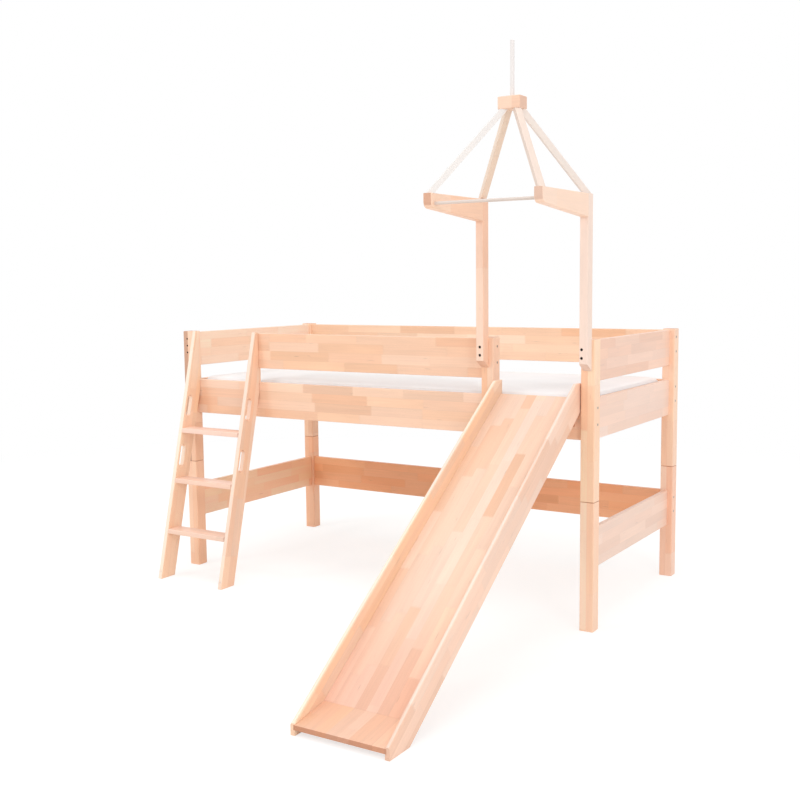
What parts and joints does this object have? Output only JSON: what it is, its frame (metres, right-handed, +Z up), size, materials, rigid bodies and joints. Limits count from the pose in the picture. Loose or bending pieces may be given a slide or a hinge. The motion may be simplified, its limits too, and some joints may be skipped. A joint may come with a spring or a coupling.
{
  "type": "bunk bed",
  "caption": "Raised wooden child's bed with guard boards, a leaning ladder, a slide and an open roof frame with a pole over the slide's top.",
  "frame": {"origin": "on the floor, at the centre of the footprint of the whole object from the slide's toe to the bed's back", "axes": "+X along the bed from the ladder end to the slide end, +Y from the slide's toe towards the back of the bed, +Z up"},
  "size_m": [2.095, 2.3494, 2.229],
  "materials": {
    "beech": "oiled, finger-jointed lamella board",
    "mattress_cover": "woven cotton cover",
    "zinc_steel": "zinc plated",
    "dark_steel": "black oxide",
    "insert_brass": "machined"
  },
  "bodies": {
    "bed_frame": {"leg_front_left": "beech", "post_front_left": "beech", "leg_front_right": "beech", "post_front_right": "beech", "leg_back_left": "beech", "post_back_left": "beech", "leg_back_right": "beech", "post_back_right": "beech", "leg_pins": "beech", "bed_bolts": "zinc_steel", "barrel_nuts": "zinc_steel", "board_dowels": "beech", "guard_board_back": "beech", "guard_board_front": "beech", "bed_rail_front": "beech", "bed_rail_back": "beech", "lower_board_back": "beech", "guard_board_left": "beech", "bed_rail_left": "beech", "lower_board_left": "beech", "guard_board_right": "beech", "bed_rail_right": "beech", "lower_board_right": "beech", "guard_strut": "beech", "slide_post": "beech", "lap_screws": "zinc_steel", "slat_ledge_front": "beech", "slat_ledge_back": "beech", "slats": "beech", "ladder_studs": "beech", "rail_cleat": "beech", "cleat_screws": "zinc_steel", "turret_upright_left": "beech", "turret_arm_left": "beech", "turret_upright_right": "beech", "turret_arm_right": "beech", "crossbar": "beech", "rafter_front_left": "beech", "rafter_front_right": "beech", "rafter_rear_left": "beech", "rafter_rear_right": "beech", "apex_block": "beech", "flag_pole": "beech", "rafter_pins": "zinc_steel", "turret_bolts": "dark_steel", "turret_inserts": "insert_brass"},
    "mattress": {"mattress": "mattress_cover"},
    "ladder": {"ladder_stringer_left": "beech", "ladder_stringer_right": "beech", "ladder_tread_lower": "beech", "ladder_tread_middle": "beech", "ladder_tread_upper": "beech", "tread_dowels": "beech"},
    "slide": {"slide_side_left": "beech", "slide_side_right": "beech", "slide_chute": "beech", "slide_runout": "beech", "slide_battens": "beech", "chute_cleat": "beech"}
  },
  "joints": [
    {"name": "mattress_lift", "type": "slide", "parent": "bed_frame", "child": "mattress", "axis": [0, 0, 1], "range_m": [0, 0.25]},
    {"name": "ladder_lift", "type": "slide", "parent": "bed_frame", "child": "ladder", "axis": [0, 0, 1], "range_m": [0, 0.2]},
    {"name": "slide_lift", "type": "slide", "parent": "bed_frame", "child": "slide", "axis": [0, 0, 1], "range_m": [0, 0.2]}
  ]
}
